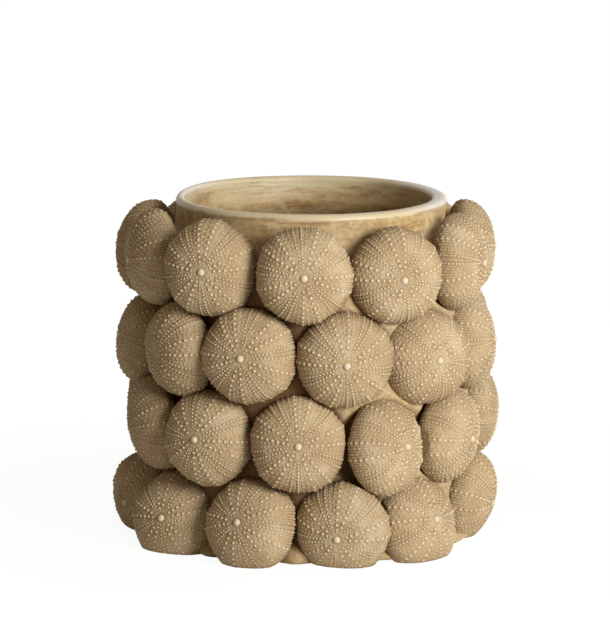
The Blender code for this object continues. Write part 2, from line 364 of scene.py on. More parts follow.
class BeadPattern:
    """Points and faces of one beaded skin, flat: along the shell and around it."""

    def __init__(self, profile, sizes, seed):
        self.profile = profile
        self.furrow = sizes.furrow / MM
        self.main_furrow = sizes.main_furrow / MM
        self.rise = sizes.bead_rise
        self.random = np.random.default_rng(seed)
        self.points = [(0.0, 0.0, KNOB_TOP, 1.0)]
        self.beads = []
        self.add_knob()
        self.add_beads()
        self.add_ground()
        self.join()

    def add(self, along, around, lift, tint):
        self.points.append((along, around, lift, tint))

    def add_circle(self, along, around, radius, count, lift, tint, twist=0.0):
        """A circle of points on the skin about a bead's middle."""
        width = self.profile.radius_at(along)
        for step in range(count):
            angle = TURN * (step + twist) / count
            self.add(along + radius * cos(angle), around + radius * sin(angle) / width, lift, tint)

    def add_knob(self):
        for number, (along, lift, tint) in enumerate(KNOB_CIRCLES):
            for step in range(KNOB_STEPS):
                around = TURN * (step + 0.5 * (number % 2)) / KNOB_STEPS
                self.add(along, around, lift, tint)

    def row_angles(self):
        """Every row: its angle in radians, its bead row and whether it is the twin."""
        rows = []
        for row in BEAD_ROWS:
            for field in range(LOBES):
                rows.append((radians(field * FIELD + row[0]), row, False))
                if row[0] not in (0.0, FIELD / 2.0):
                    rows.append((radians(field * FIELD - row[0]), row, True))
        return rows

    def add_beads(self):
        along, count, size = KNOB_RING
        for step in range(count):
            around = TURN * (step + 0.5) / count + self.random.normal(0.0, 0.03)
            self.add_bead(along + self.random.normal(0.0, 0.10), around, size, 0.0)
        for around, (offset, first, pitch, radius, rib), twin in self.row_angles():
            along = first + (pitch / 2.0 if twin else 0.0)
            while along < BEADED_END:
                near_knob = 0.78 + 0.22 * smoothstep(along, 5.0, 12.0)
                near_edge = 1.0 - 0.15 * smoothstep(along, 28.0, 42.0)
                stray = 0.04 if radius > LARGE_BEAD else 0.07
                size = radius * near_knob * near_edge * self.random.normal(1.0, stray)
                place = along + self.random.normal(0.0, stray) * pitch / 3.0
                drift = around + self.random.normal(0.0, stray) / self.profile.radius_at(place)
                if self.random.random() > stray / 5.0 and self.is_clear(place, drift, size):
                    self.add_bead(place, drift, size, rib)
                along += pitch * (0.80 + 0.20 * smoothstep(along, 4.0, 14.0))

    def is_clear(self, along, around, size):
        width = self.profile.radius_at(along)
        for other_along, other_around, other_size in self.beads:
            turn = (around - other_around + pi) % TURN - pi
            if hypot(along - other_along, turn * width) < (size + other_size) * BEAD_SPACING:
                return False
        return True

    def add_bead(self, along, around, size, rib):
        """A domed bead with a circle or more around it. Tint is high on its top and low at its foot, where the low
        tint paints wash and shade into its moat.
        """
        self.beads.append((along, around, size))
        worn = 0.84 + 0.12 * self.random.random()
        crest = self.crest(along, rib)
        top = size * self.rise * (1.0 - 0.45 * smoothstep(along, 22.0, 38.0))
        if size > LARGE_BEAD:
            self.add(along, around, crest + top, worn)
            self.add_circle(along, around, size * 0.60, 7, crest + top * 0.80, worn)
            self.add_circle(along, around, size, 8, crest, 0.46, 0.5)
            self.add_circle(along, around, size * 1.30, 8, crest - 0.13, 0.12)
        elif size > SMALL_BEAD:
            self.add(along, around, crest + top, worn - 0.10)
            self.add_circle(along, around, size * 0.62, 5, crest + top * 0.78, worn - 0.14)
            self.add_circle(along, around, size * 1.12, 6, crest - 0.05, 0.28, 0.5)
        else:
            self.add(along, around, crest + top, worn - 0.30)
            self.add_circle(along, around, size * 1.10, 5, crest - 0.03, 0.34, 0.5)

    def crest(self, along, rib):
        return rib * smoothstep(along, 9.0, 24.0)

    def valley(self, along):
        return -self.furrow * (0.10 + 0.90 * smoothstep(along, 10.0, 32.0))

    def main_relief(self):
        """The broad furrows, which are deepest midway between two main rows of beads."""
        degrees = np.degrees(self.around) % FIELD
        nearest = np.full(len(degrees), FIELD)
        for ridge in MAIN_RIDGES:
            nearest = np.minimum(nearest, np.abs((degrees - ridge + FIELD / 2.0) % FIELD - FIELD / 2.0))
        return -self.main_furrow * smoothstep(nearest, 2.0, 12.5) * smoothstep(self.along, 12.0, 32.0)

    def is_ground(self, along, around):
        width = self.profile.radius_at(along)
        turn = (self.bead_table[:, 1] - around + pi) % TURN - pi
        reach = np.hypot(self.bead_table[:, 0] - along, turn * width)
        return bool((reach > self.bead_table[:, 2] * GROUND_SPACING + 0.10).all())

    def add_ground(self):
        """Ribs along the rows and valleys between them, with rough ground near the knob."""
        self.bead_table = np.array(self.beads)
        ribs = {round(around % TURN, 9): row[4] for around, row, twin in self.row_angles()}
        angles = sorted(ribs)
        neighbours = zip(angles, angles[1:] + [angles[0] + TURN])
        middles = [((here + after) / 2.0, after - here) for here, after in neighbours]
        along = GROUND_START
        lane = 0
        while along < SKIN_END - 0.6:
            width = self.profile.radius_at(along)
            if width < ROWS_RADIUS:
                count = max(12, int(TURN * width / (2.0 * HALF_LANE)))
                for step in range(count):
                    around = TURN * (step + 0.5 * (lane % 2)) / count
                    if self.is_ground(along, around):
                        self.add(along, around, 0.10 * self.random.normal(), 0.36 + 0.10 * self.random.random())
            else:
                rise = smoothstep(along, 14.0, 30.0)
                for around in angles:
                    if self.is_ground(along, around):
                        self.add(along, around, self.crest(along, ribs[around]), 0.47 + 0.14 * rise)
            along += HALF_LANE
            lane += 1
            for around, gap in middles:
                if width >= ROWS_RADIUS and gap * width > 0.9 and self.is_ground(along, around):
                    depth = self.valley(along) * min(1.0, gap * width / 2.2)
                    tint = 0.42 - 0.22 * min(1.0, -depth / self.furrow)
                    # Painted shade: the valleys darken towards the girdle, where the neighbouring shells shade them.
                    self.add(along, around, depth, tint - 0.20 * smoothstep(along, 33.0, 38.0))
            along += HALF_LANE
        for around, gap in middles:
            self.add(SKIN_END, around, -self.furrow * 0.4, 0.1)
            self.add(SKIN_END, around + gap / 2.0, 0.0, 0.3)

    def join(self):
        """Triangles between all the points, laid flat as a disc."""
        table = np.array(self.points)
        flat = [Vector((along * cos(around), along * sin(around))) for along, around in table[:, :2]]
        points, edges, faces, sources, *others = delaunay_2d_cdt(flat, [], [], 0, 1e-7)
        self.along, self.around, self.lift, self.tint = table[[source[0] for source in sources]].T
        self.lift = self.lift + self.main_relief()
        self.disc = np.array([(p.x, p.y) for p in points])
        self.faces = np.array(faces)


def bent_skin(pattern, sizes, place, seed):
    """The pattern's points bent over the dome in its place, and which are on a worn knob."""
    radius, height, sideways, forward = pattern.profile.at(pattern.along)
    angle = pattern.around + radians(place.turn + WORN_KNOBS.get(place.node, 0.0))
    is_worn = (pattern.along < KNOB_END) & (place.node in WORN_KNOBS)
    swell = 1.0 + sizes.lobe / (sizes.diameter / 2.0) * np.cos(LOBES * pattern.around)
    dent = 0.22 * np.sin(2.0 * angle + seed) * radius / 30.0 + 0.14 * np.sin(3.0 * angle + 2.0 * seed)
    lift = np.where(is_worn, 0.0, pattern.lift) + dent * smoothstep(pattern.along, 6.0, 30.0)
    back = np.array([[0.0, 0.0, -sizes.back_depth / MM * 0.96, 1.0]])
    round_about = np.stack([np.cos(angle), np.sin(angle)], axis=1)
    reach = (radius * swell + sideways * lift)[:, None] * round_about
    local = np.column_stack([reach, height + forward * lift, np.ones(len(lift))])
    right = Vector((0.0, 0.0, 1.0)).cross(place.outward).normalized()
    up = place.outward.cross(right)
    frame = np.array([list(right * MM), list(up * MM), list(place.outward * MM), list(place.middle)])
    points = np.concatenate([local, back]) @ frame
    flatter = lift * (0.65 - 0.65 * smoothstep(points[:-1, 2], 0.004, 0.022))
    normal = np.column_stack([sideways[:, None] * round_about, forward])
    points[:-1] -= flatter[:, None] * (normal @ frame[:3])
    return points, is_worn


def flatten(points, sizes, place, places):
    """Cuts a shell flat halfway to each neighbour, and level at the floor."""
    for other in places:
        way = np.array(other.middle - place.middle)
        distance = float(np.linalg.norm(way))
        if 0.0 < distance < sizes.diameter * 1.1:
            way /= distance
            past = (points - np.array(place.middle)) @ way - (distance - GLUE_GAP) / 2.0
            points -= np.outer(np.maximum(past, 0.0), way)
    points[:, 2] = np.maximum(points[:, 2], 0.0)


def shell_mesh(pattern, sizes, place, places):
    """One shell in its place: the skin bent over the dome, flattened at its neighbours and closed."""
    name = place.node + "_skin"
    points, is_worn = bent_skin(pattern, sizes, place, sum(ord(letter) for letter in name))
    flatten(points, sizes, place, places)
    rim = np.nonzero(pattern.along > SKIN_END - 0.01)[0]
    rim = rim[np.argsort(np.arctan2(pattern.disc[rim, 1], pattern.disc[rim, 0]))]
    cap = [(rim[(step + 1) % len(rim)], rim[step], len(points) - 1) for step in range(len(rim))]
    faces = np.concatenate([pattern.faces, np.array(cap)])
    mesh = bpy.data.meshes.new(name)
    mesh.from_pydata(points.tolist(), [], faces.tolist())

    # Painted shade: the shells darken where they sink towards the wall and along the floor, where shade falls.
    reach = np.hypot(points[:, 0], points[:, 1]) - MIDDLE_RADIUS
    near_wall = 1.0 - smoothstep(reach, -0.0055, 0.0010)
    near_floor = 0.6 - 0.6 * smoothstep(points[:, 2], 0.0004, 0.0030)
    add_layer(mesh, "tint", np.append(np.where(is_worn, 0.4, pattern.tint), 0.1))
    add_layer(mesh, "deep", np.maximum(near_wall, near_floor))
    disc = np.concatenate([pattern.disc / SKIN_END * 0.5 + 0.5, [[0.5, 0.5]]])
    corners = np.empty(len(mesh.loops), dtype=np.int32)
    mesh.loops.foreach_get("vertex_index", corners)
    mesh.uv_layers.new(name="disc").data.foreach_set("uv", disc[corners].ravel().astype(np.float32))
    mesh.shade_smooth()
    mesh.update()
    return mesh


def add_object(name, data):
    obj = bpy.data.objects.new(name, data)
    bpy.context.scene.collection.objects.link(obj)
    return obj


def add_layer(mesh, name, values):
    layer = mesh.attributes.new(name, "FLOAT", "POINT")
    layer.data.foreach_set("value", np.asarray(values, dtype=np.float32))


def dress(mesh, node, material):
    """Puts a finished mesh in the scene in place of its solid."""
    obj = add_object(mesh.name, mesh)
    mesh.materials.append(material)
    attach(obj, "root")
    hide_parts(node)


class CACHEPOT_OT_set_shells(bpy.types.Operator):
    """Sets one ring of beaded shells on the pot"""

    bl_idname = "cachepot.set_shells"
    bl_label = "Set a Ring of Shells"

    ring: EnumProperty(
        name="Ring",
        description="Which ring of shells to set",
        items=[(name, name.title(), f"The {name} ring") for name, angle in RINGS],
    )

    def execute(self, context):
        sizes = context.scene.cachepot_shells
        material = painted("urchin_wash", shell_wash, context.scene.cachepot_colours)
        places = shell_places()
        patterns = shared_patterns(sizes)
        for number, place in enumerate(places):
            if place.ring == self.ring:
                pattern = patterns[(number * 5 + number // SHELLS_PER_RING) % len(patterns)]
                mesh = shell_mesh(pattern, sizes, place, places)
                dress(mesh, place.node, material)
        return {"FINISHED"}


FIRST_SEED = 40
PATTERN_STORE = {}


def shared_patterns(sizes):
    """The bead patterns, made once for all the rings and again only for other sizes."""
    key = tuple(getattr(sizes, name) for name in setting_names(sizes))
    if key not in PATTERN_STORE:
        profile = ShellProfile(sizes)
        PATTERN_STORE[key] = [BeadPattern(profile, sizes, FIRST_SEED + n) for n in range(sizes.patterns)]
    return PATTERN_STORE[key]


# The pot


class Outline:
    """Radius and height along a profile, in which each run goes on from the last."""

    def __init__(self):
        self.points = [(0.0, 0.0)]

    def run(self, radius, height, steps, is_soft=False):
        """Goes straight to a point, or eases across to it in a soft S."""
        first_radius, first_height = self.points[-1]
        for share in np.linspace(0.0, 1.0, steps + 1)[1:]:
            across = (1.0 - cos(pi * share)) / 2.0 if is_soft else share
            lifted = first_height + (height - first_height) * share
            self.points.append((first_radius + (radius - first_radius) * across, lifted))

    def arc(self, centre_radius, centre_height, size, start, end, steps):
        for angle in np.radians(np.linspace(start, end, steps + 1)[1:]):
            self.points.append((centre_radius + size * cos(angle), centre_height + size * sin(angle)))


def pot_profile(sizes):
    """Radius and height from the middle of the underside to that of the floor, where the inside
    starts, and the heights of the shoulder, the neck and the lip's top."""
    wall, collar, floor = sizes.wall_radius, sizes.collar_radius, sizes.floor_thickness
    foot = wall + FOOT_FLARE
    shoulder = FIRST_RING_HEIGHT + RING_PITCH * (len(RINGS) - 1)
    neck = shoulder + sizes.shoulder_height
    top = neck + sizes.collar_height
    outline = Outline()
    outline.run(foot - FOOT_EDGE, 0.0, 14)
    outline.arc(foot - FOOT_EDGE, FOOT_EDGE, FOOT_EDGE, -90.0, 0.0, 5)
    outline.run(foot, FOOT_BAND, 1)
    outline.run(wall, FOOT_HEIGHT, 7, is_soft=True)
    outline.run(wall, shoulder, 96)
    outline.run(collar - NECK_DRAW, neck, 16, is_soft=True)
    outline.run(collar, top - LIP_ROUND, 9)
    outline.arc(collar - LIP_ROUND, top - LIP_ROUND, LIP_ROUND, 0.0, 90.0, 9)
    first_inside = len(outline.points) - 2
    mouth = collar - sizes.lip_width
    room = wall - sizes.wall_thickness
    outline.run(mouth + MOUTH_ROUND, top - LIP_DIP, 3)
    outline.arc(mouth + MOUTH_ROUND, top - LIP_DIP - MOUTH_ROUND, MOUTH_ROUND, 90.0, 180.0, 7)
    outline.run(mouth, neck, 14)
    outline.run(room, shoulder, 14, is_soft=True)
    outline.run(room, floor + FLOOR_FILLET, 60)
    outline.arc(room - FLOOR_FILLET, floor + FLOOR_FILLET, FLOOR_FILLET, 0.0, -90.0, 7)
    outline.run(0.0, floor, 12)
    return np.array(outline.points[2:-1]), first_inside, shoulder, neck, top


def filled_web(points):
    """How far the wall stands out at the listed places where it is filled out."""
    filled = np.zeros(len(points))
    from_axis = np.hypot(points[:, 0], points[:, 1])
    for azimuth, height, reach, rise in FILLED_WEBS:
        angle = radians(azimuth)
        aside = points[:, 0] * cos(angle) + points[:, 1] * sin(angle)
        is_facing = points[:, 0] * sin(angle) - points[:, 1] * cos(angle) > 0.5 * from_axis
        away = np.hypot(aside, points[:, 2] - height * MM) / (reach * MM)
        filled = np.maximum(filled, np.where(is_facing, rise * MM * np.exp(-(away ** 2)), 0.0))
    return filled


def web_height(points, sizes):
    """How far the wall stands out between the shells, and how much of it is free of painted shade.

    The casting is fuller at its right side; its webs are hollow at the left and painted in shade there."""
    nearest = np.full(len(points), 1.0)
    for place in shell_places():
        middle = place.middle
        share = sizes.wall_radius / hypot(middle.x, middle.y)
        seat = np.array((middle.x * share, middle.y * share, middle.z))
        nearest = np.minimum(nearest, np.linalg.norm(points - seat, axis=1))
    fullness = 0.35 + 1.45 * smoothstep(points[:, 0], 0.0, 0.06)
    fullness *= 1.0 - smoothstep(points[:, 2], 0.190, 0.202)
    web = sizes.web_rise * fullness * smoothstep(nearest, WEB_START, WEB_FULL)
    web = np.maximum(web, filled_web(points))
    # Painted shade: hollow webs are painted dark, most at the left, away from the key lamp, and less near the foot.
    unshaded = 0.10 + 0.90 * smoothstep(points[:, 0], -0.030, 0.030)
    unshaded = np.maximum(unshaded, 0.70 - 0.70 * smoothstep(points[:, 2], 0.006, 0.016))
    return web, unshaded * smoothstep(web, 0.0008, 0.0036)


class PotForm:
    """The turned pot as rings of points, with its webs, its uneven lip and its painted layers."""

    def __init__(self, sizes):
        self.sizes = sizes
        profile, first_inside, self.shoulder, self.neck, self.top = pot_profile(sizes)
        turns = np.linspace(0.0, TURN, POT_STEPS, endpoint=False)
        self.rings = len(profile)
        self.radius = np.repeat(profile[:, 0], POT_STEPS)
        self.height = np.repeat(profile[:, 1], POT_STEPS)
        self.angle = np.tile(turns, self.rings)
        self.is_inside = np.repeat(np.arange(self.rings) >= first_inside, POT_STEPS)
        over_lip = smoothstep(-self.radius, -sizes.collar_radius, sizes.lip_width - sizes.collar_radius)
        self.across = np.where(self.height > self.top - LIP_BAND, over_lip, self.is_inside)
        self.shape()

    def shape(self):
        """Sets the points, and how much of the webs is left free of painted shade."""
        angle, height, sizes = self.angle, self.height, self.sizes
        rise = smoothstep(height, self.shoulder, self.top)
        lip_wave = 0.0005 * np.sin(2.0 * angle + 0.6) + 0.0003 * np.sin(5.0 * angle + 2.0)
        lip_wave += 0.00012 * np.sin(13.0 * angle)
        grooves = 0.00006 * np.sin(height * 1150.0 + 1.6 * np.sin(angle * 2.0)) * np.sin(height * 310.0)
        has_grooves = self.is_inside & (height > sizes.floor_thickness + 0.004) & (height < self.top - 0.003)
        reach = self.radius + rise * lip_wave + np.where(has_grooves, grooves, 0.0)
        plain_points = np.stack([reach * np.cos(angle), reach * np.sin(angle), height], axis=1)
        web, self.web_unshaded = web_height(plain_points, sizes)
        web *= smoothstep(height, -0.004, 0.003)
        web *= 1.0 - smoothstep(height, self.top - 0.010, self.top - 0.004)
        reach = reach + np.where(self.is_inside | (self.radius < sizes.collar_radius - 0.001), 0.0, web)
        shift = (0.0018 - 0.0022 * self.across) * rise
        settle = 0.0002 * np.sin(3.0 * angle) - 0.0004 * np.cos(angle)
        lifted = height + settle * smoothstep(height, self.neck, self.top)
        self.points = np.stack([reach * np.cos(angle) + shift, reach * np.sin(angle), lifted], axis=1)

    def verts(self):
        return [(0.0, 0.0, 0.0)] + self.points.tolist() + [(0.0, 0.0, self.sizes.floor_thickness)]

    def faces(self):
        pairs = [(step, (step + 1) % POT_STEPS) for step in range(POT_STEPS)]
        faces = [(0, 1 + b, 1 + a) for a, b in pairs]
        for ring in range(self.rings - 1):
            low = 1 + ring * POT_STEPS
            high = low + POT_STEPS
            faces += [(low + a, low + b, high + b, high + a) for a, b in pairs]
        last = 1 + (self.rings - 1) * POT_STEPS
        faces += [(last + a, last + b, last + POT_STEPS) for a, b in pairs]
        return faces

    def layers(self):
        """What the pot's material reads at each point, by name."""
        height, top = self.height, self.top
        x, y = self.points[:, 0], self.points[:, 1]
        cosine = np.cos(self.angle)
        # Painted shade in the hollows of the wall below the collar.
        bare = (1.0 - self.web_unshaded) * (1.0 - smoothstep(height, self.shoulder + 0.008, self.neck))
        # Painted sheen: the lip's top is painted near white towards its left and right ends, all across at the right
        # and on its inner round at the left.
        edge = smoothstep(height, top - 0.0045, top - 0.0012) * smoothstep(cosine ** 2, 0.35, 0.95)
        edge *= np.where(cosine > 0.0, 0.95, smoothstep(self.across, 0.30, 0.75))
        beside = (x - PATCH_PLACE[0]) / (0.007 + 0.002 * np.sin(height * 900.0))
        patch = np.exp(-(beside ** 4) - ((height - PATCH_PLACE[1]) / 0.0042) ** 4) * (self.is_inside & (y > 0.0))
        chip = np.exp(-(((x - CHIP_PLACE[0]) / 0.0024) ** 2) - ((height - CHIP_PLACE[1]) / 0.0013) ** 2)
        chips = np.maximum(0.75 * patch, 0.70 * chip * ((y < 0.0) & ~self.is_inside))
        below = 1.0 - smoothstep(height, self.shoulder + 0.004, self.shoulder + 0.014)
        below = np.where(self.is_inside, 0.0, below)
        return {"inside": self.is_inside, "bare": bare, "edge": edge, "chips": chips, "below": below}


class CACHEPOT_OT_turn_pot(bpy.types.Operator):
    """Makes the turned pot with its foot, webs, shoulder, collar and lip"""

    bl_idname = "cachepot.turn_pot"
    bl_label = "Turn the Pot"

    def execute(self, context):
        form = PotForm(context.scene.cachepot_pot)
        mesh = bpy.data.meshes.new("pot_skin")
        mesh.from_pydata(form.verts(), [], form.faces())
        for name, values in form.layers().items():
            floor_middle = float(name == "inside")
            add_layer(mesh, name, np.concatenate([[0.0], values, [floor_middle]]))
        mesh.shade_smooth()
        mesh.update()
        material = painted("pot_wash", pot_wash, context.scene.cachepot_colours)
        dress(mesh, "vessel", material)
        return {"FINISHED"}


# Materials


class Nodes:
    """Short ways to add and join the nodes of one tree."""

    def __init__(self, tree):
        self.tree = tree

    def add(self, kind, **values):
        node = self.tree.nodes.new(kind)
        for key, value in values.items():
            setattr(node, key, value)
        return node

    def put(self, value, socket):
        """Joins another node's output to a socket, or sets it to a number or a colour."""
        if isinstance(value, bpy.types.NodeSocket):
            self.tree.links.new(value, socket)
        elif isinstance(value, (int, float)):
            socket.default_value = value
        else:
            socket.default_value = (value[0], value[1], value[2], 1.0)

    def feed(self, node, values):
        for label, value in values.items():
            self.put(value, node.inputs[label])

    def attribute(self, name):
        return self.add("ShaderNodeAttribute", attribute_name=name).outputs["Fac"]

    def math(self, operation, *values, clamp=False):
        node = self.add("ShaderNodeMath", operation=operation, use_clamp=clamp)
        for socket, value in zip(node.inputs, values):
            self.put(value, socket)
        return node.outputs[0]

    def plus(self, first, second):
        return self.math("ADD", first, second)

    def less(self, first, second, clamp=False):
        return self.math("SUBTRACT", first, second, clamp=clamp)

    def times(self, first, second, clamp=False):
        return self.math("MULTIPLY", first, second, clamp=clamp)

    def most(self, first, second):
        return self.math("MAXIMUM", first, second)

    def remap(self, value, low, high, out_low=0.0, out_high=1.0):
        node = self.add("ShaderNodeMapRange", interpolation_type="SMOOTHSTEP")
        self.feed(node, {"Value": value, "From Min": low, "From Max": high, "To Min": out_low, "To Max": out_high})
        return node.outputs["Result"]

    def mix(self, factor, first, second):
        node = self.add("ShaderNodeMix", data_type="RGBA")
        for number, value in ((0, factor), (6, first), (7, second)):
            self.put(value, node.inputs[number])
        return node.outputs[2]

    def noise(self, vector, scale, detail=4.0, roughness=0.55, distortion=0.0):
        node = self.add("ShaderNodeTexNoise")
        values = {"Scale": scale, "Detail": detail, "Roughness": roughness, "Distortion": distortion}
        self.feed(node, {"Vector": vector, **values})
        return node.outputs["Fac"]

    def bump(self, height, strength):
        node = self.add("ShaderNodeBump")
        self.feed(node, {"Strength": strength, "Distance": BUMP_HEIGHT, "Height": height})
        return node.outputs["Normal"]


def wash_group():
    """Shared wash: patches, fine grain and a matching height, from where a point lies."""
    name = "Antique Wash"
    if name in bpy.data.node_groups:
        return bpy.data.node_groups[name]
    tree = bpy.data.node_groups.new(name, "ShaderNodeTree")
    face = tree.interface
    face.new_socket("Vector", in_out="INPUT", socket_type="NodeSocketVector")
    for label, value in (("Patch Scale", 30.0), ("Grain Scale", 900.0)):
        socket = face.new_socket(label, in_out="INPUT", socket_type="NodeSocketFloat")
        socket.default_value = value
    for label in ("Patches", "Grain", "Height"):
        face.new_socket(label, in_out="OUTPUT", socket_type="NodeSocketFloat")
    nodes = Nodes(tree)
    source = nodes.add("NodeGroupInput").outputs
    result = nodes.add("NodeGroupOutput")
    patches = nodes.remap(nodes.noise(source["Vector"], source["Patch Scale"], 5.0, 0.6), 0.38, 0.66)
    grain = nodes.remap(nodes.noise(source["Vector"], source["Grain Scale"], 3.0, 0.65), 0.30, 0.72)
    height = nodes.plus(nodes.times(patches, 0.35), grain)
    nodes.feed(result, {"Patches": patches, "Grain": grain, "Height": height})
    return tree


def add_wash(nodes, vector, patch_scale, grain_scale):
    group = nodes.add("ShaderNodeGroup", node_tree=wash_group())
    nodes.feed(group, {"Vector": vector, "Patch Scale": patch_scale, "Grain Scale": grain_scale})
    return group.outputs


def new_material(name):
    material = bpy.data.materials.new(name)
    material.use_nodes = True
    return material, Nodes(material.node_tree), material.node_tree.nodes["Principled BSDF"]


def painted(name, paint, colours):
    """The material of that name, which is painted on its first use."""
    if name not in bpy.data.materials:
        material, nodes, shader = new_material(name)
        nodes.feed(shader, paint(nodes, colours))
    return bpy.data.materials[name]


def shell_wash(nodes, colours):
    """Tan ground, cream beads and dark furrows, under a patchy wash, with painted shade in the furrows and where the
    shells sink near the wall and the floor.
    """
    place = nodes.add("ShaderNodeTexCoord").outputs["Object"]
    tint = nodes.attribute("tint")
    deep = nodes.attribute("deep")
    wash = add_wash(nodes, place, 34.0, 1100.0)

    ground = nodes.mix(wash["Patches"], colours.shell_stain, colours.shell_ground)
    ground = nodes.mix(nodes.remap(wash["Grain"], 0.0, 1.0, 0.40, 0.0), ground, colours.shell_stain)
    dust = nodes.remap(nodes.noise(place, 46.0, 5.0, 0.7, 0.4), 0.48, 0.68, 0.0, 0.42)
    ground = nodes.mix(dust, ground, colours.shell_dust)
    # Dark wash and painted shade in the furrows and moats, from low tint.
    furrow = nodes.times(nodes.remap(tint, 0.06, 0.44, 1.0, 0.0), 0.42)
    # Painted shade near the wall and the floor darkens the ground.
    furrow = nodes.most(furrow, nodes.times(deep, 0.62))
    colour = nodes.mix(furrow, ground, colours.furrow_wash_and_shade)

    colour = nodes.mix(nodes.remap(tint, 0.48, 0.66, 0.0, 0.45), colour, colours.bead_cream)
    worn = nodes.remap(nodes.noise(place, 210.0, 2.0), 0.36, 0.60, 0.65, 1.0)
    bead = nodes.times(nodes.remap(tint, 0.58, 0.92, 0.0, 0.95), worn)
    # Painted shade also dims the beads near the wall and the floor.
    bead = nodes.times(bead, nodes.less(1.0, nodes.times(deep, 0.7)))
    colour = nodes.mix(bead, colour, colours.bead_cream)
    colour = nodes.mix(nodes.remap(tint, 0.965, 0.995), colour, colours.knob_ivory)

    rough = nodes.remap(tint, 0.80, 1.0, 0.78, 0.46)
    lumps = nodes.times(nodes.noise(place, 520.0, 1.5, 0.5), 1.6)
    normal = nodes.bump(nodes.plus(lumps, nodes.times(wash["Height"], 0.25)), 0.60)
    return {"Base Color": colour, "Roughness": rough, "Specular IOR Level": 0.20, "Normal": normal}


def honey_wash(nodes, colours, place, streaks, blots, patches):
    """The tan of the collar: honey with brown streaks, straw blots and speckle."""
    honey = nodes.mix(nodes.remap(streaks, 0.36, 0.60), colours.pot_brown, colours.pot_honey)
    honey = nodes.mix(nodes.remap(blots, 0.42, 0.66, 0.0, 0.75), honey, colours.pot_straw)
    honey = nodes.mix(nodes.remap(patches, 0.0, 1.0, 0.35, 0.0), honey, colours.pot_brown)
    speckle = nodes.noise(place, 270.0, 3.0, 0.6)
    honey = nodes.mix(nodes.remap(speckle, 0.52, 0.66, 0.0, 0.40), honey, colours.pot_straw)
    return nodes.mix(nodes.remap(speckle, 0.34, 0.46, 0.35, 0.0), honey, colours.pot_brown)


def crack_mask(nodes, axes, blots, inside):
    """A ragged brown line under the front of the lip."""
    x, y, height = axes
    ragged = nodes.times(nodes.less(blots, 0.5), 0.006)
    away = nodes.math("ABSOLUTE", nodes.less(nodes.plus(height, ragged), CRACK_HEIGHT))
    crack = nodes.times(nodes.remap(away, 0.0, 0.0009, 0.75, 0.0), nodes.remap(y, -0.085, -0.082, 1.0, 0.0))
    crack = nodes.times(crack, nodes.remap(x, CRACK_ENDS[0], CRACK_ENDS[0] + 0.008))
    stop = nodes.less(nodes.remap(x, CRACK_ENDS[1] - 0.006, CRACK_ENDS[1], 1.0, 0.0), inside)
    return nodes.times(crack, stop, clamp=True)


def cream_mask(nodes, height, streaks, inside):
    """Cream over the lip outside, and far down from it inside, with a streaky edge."""
    uneven = nodes.less(streaks, 0.5)
    node = nodes.add("ShaderNodeMix", data_type="FLOAT")
    outside_edge = nodes.remap(nodes.plus(height, nodes.times(uneven, 0.007)), *CREAM_OUTSIDE)
    inside_edge = nodes.remap(nodes.plus(height, nodes.times(uneven, 0.060)), *CREAM_INSIDE)
    for number, value in ((0, inside), (2, outside_edge), (3, inside_edge)):
        nodes.put(value, node.inputs[number])
    return node.outputs[0]


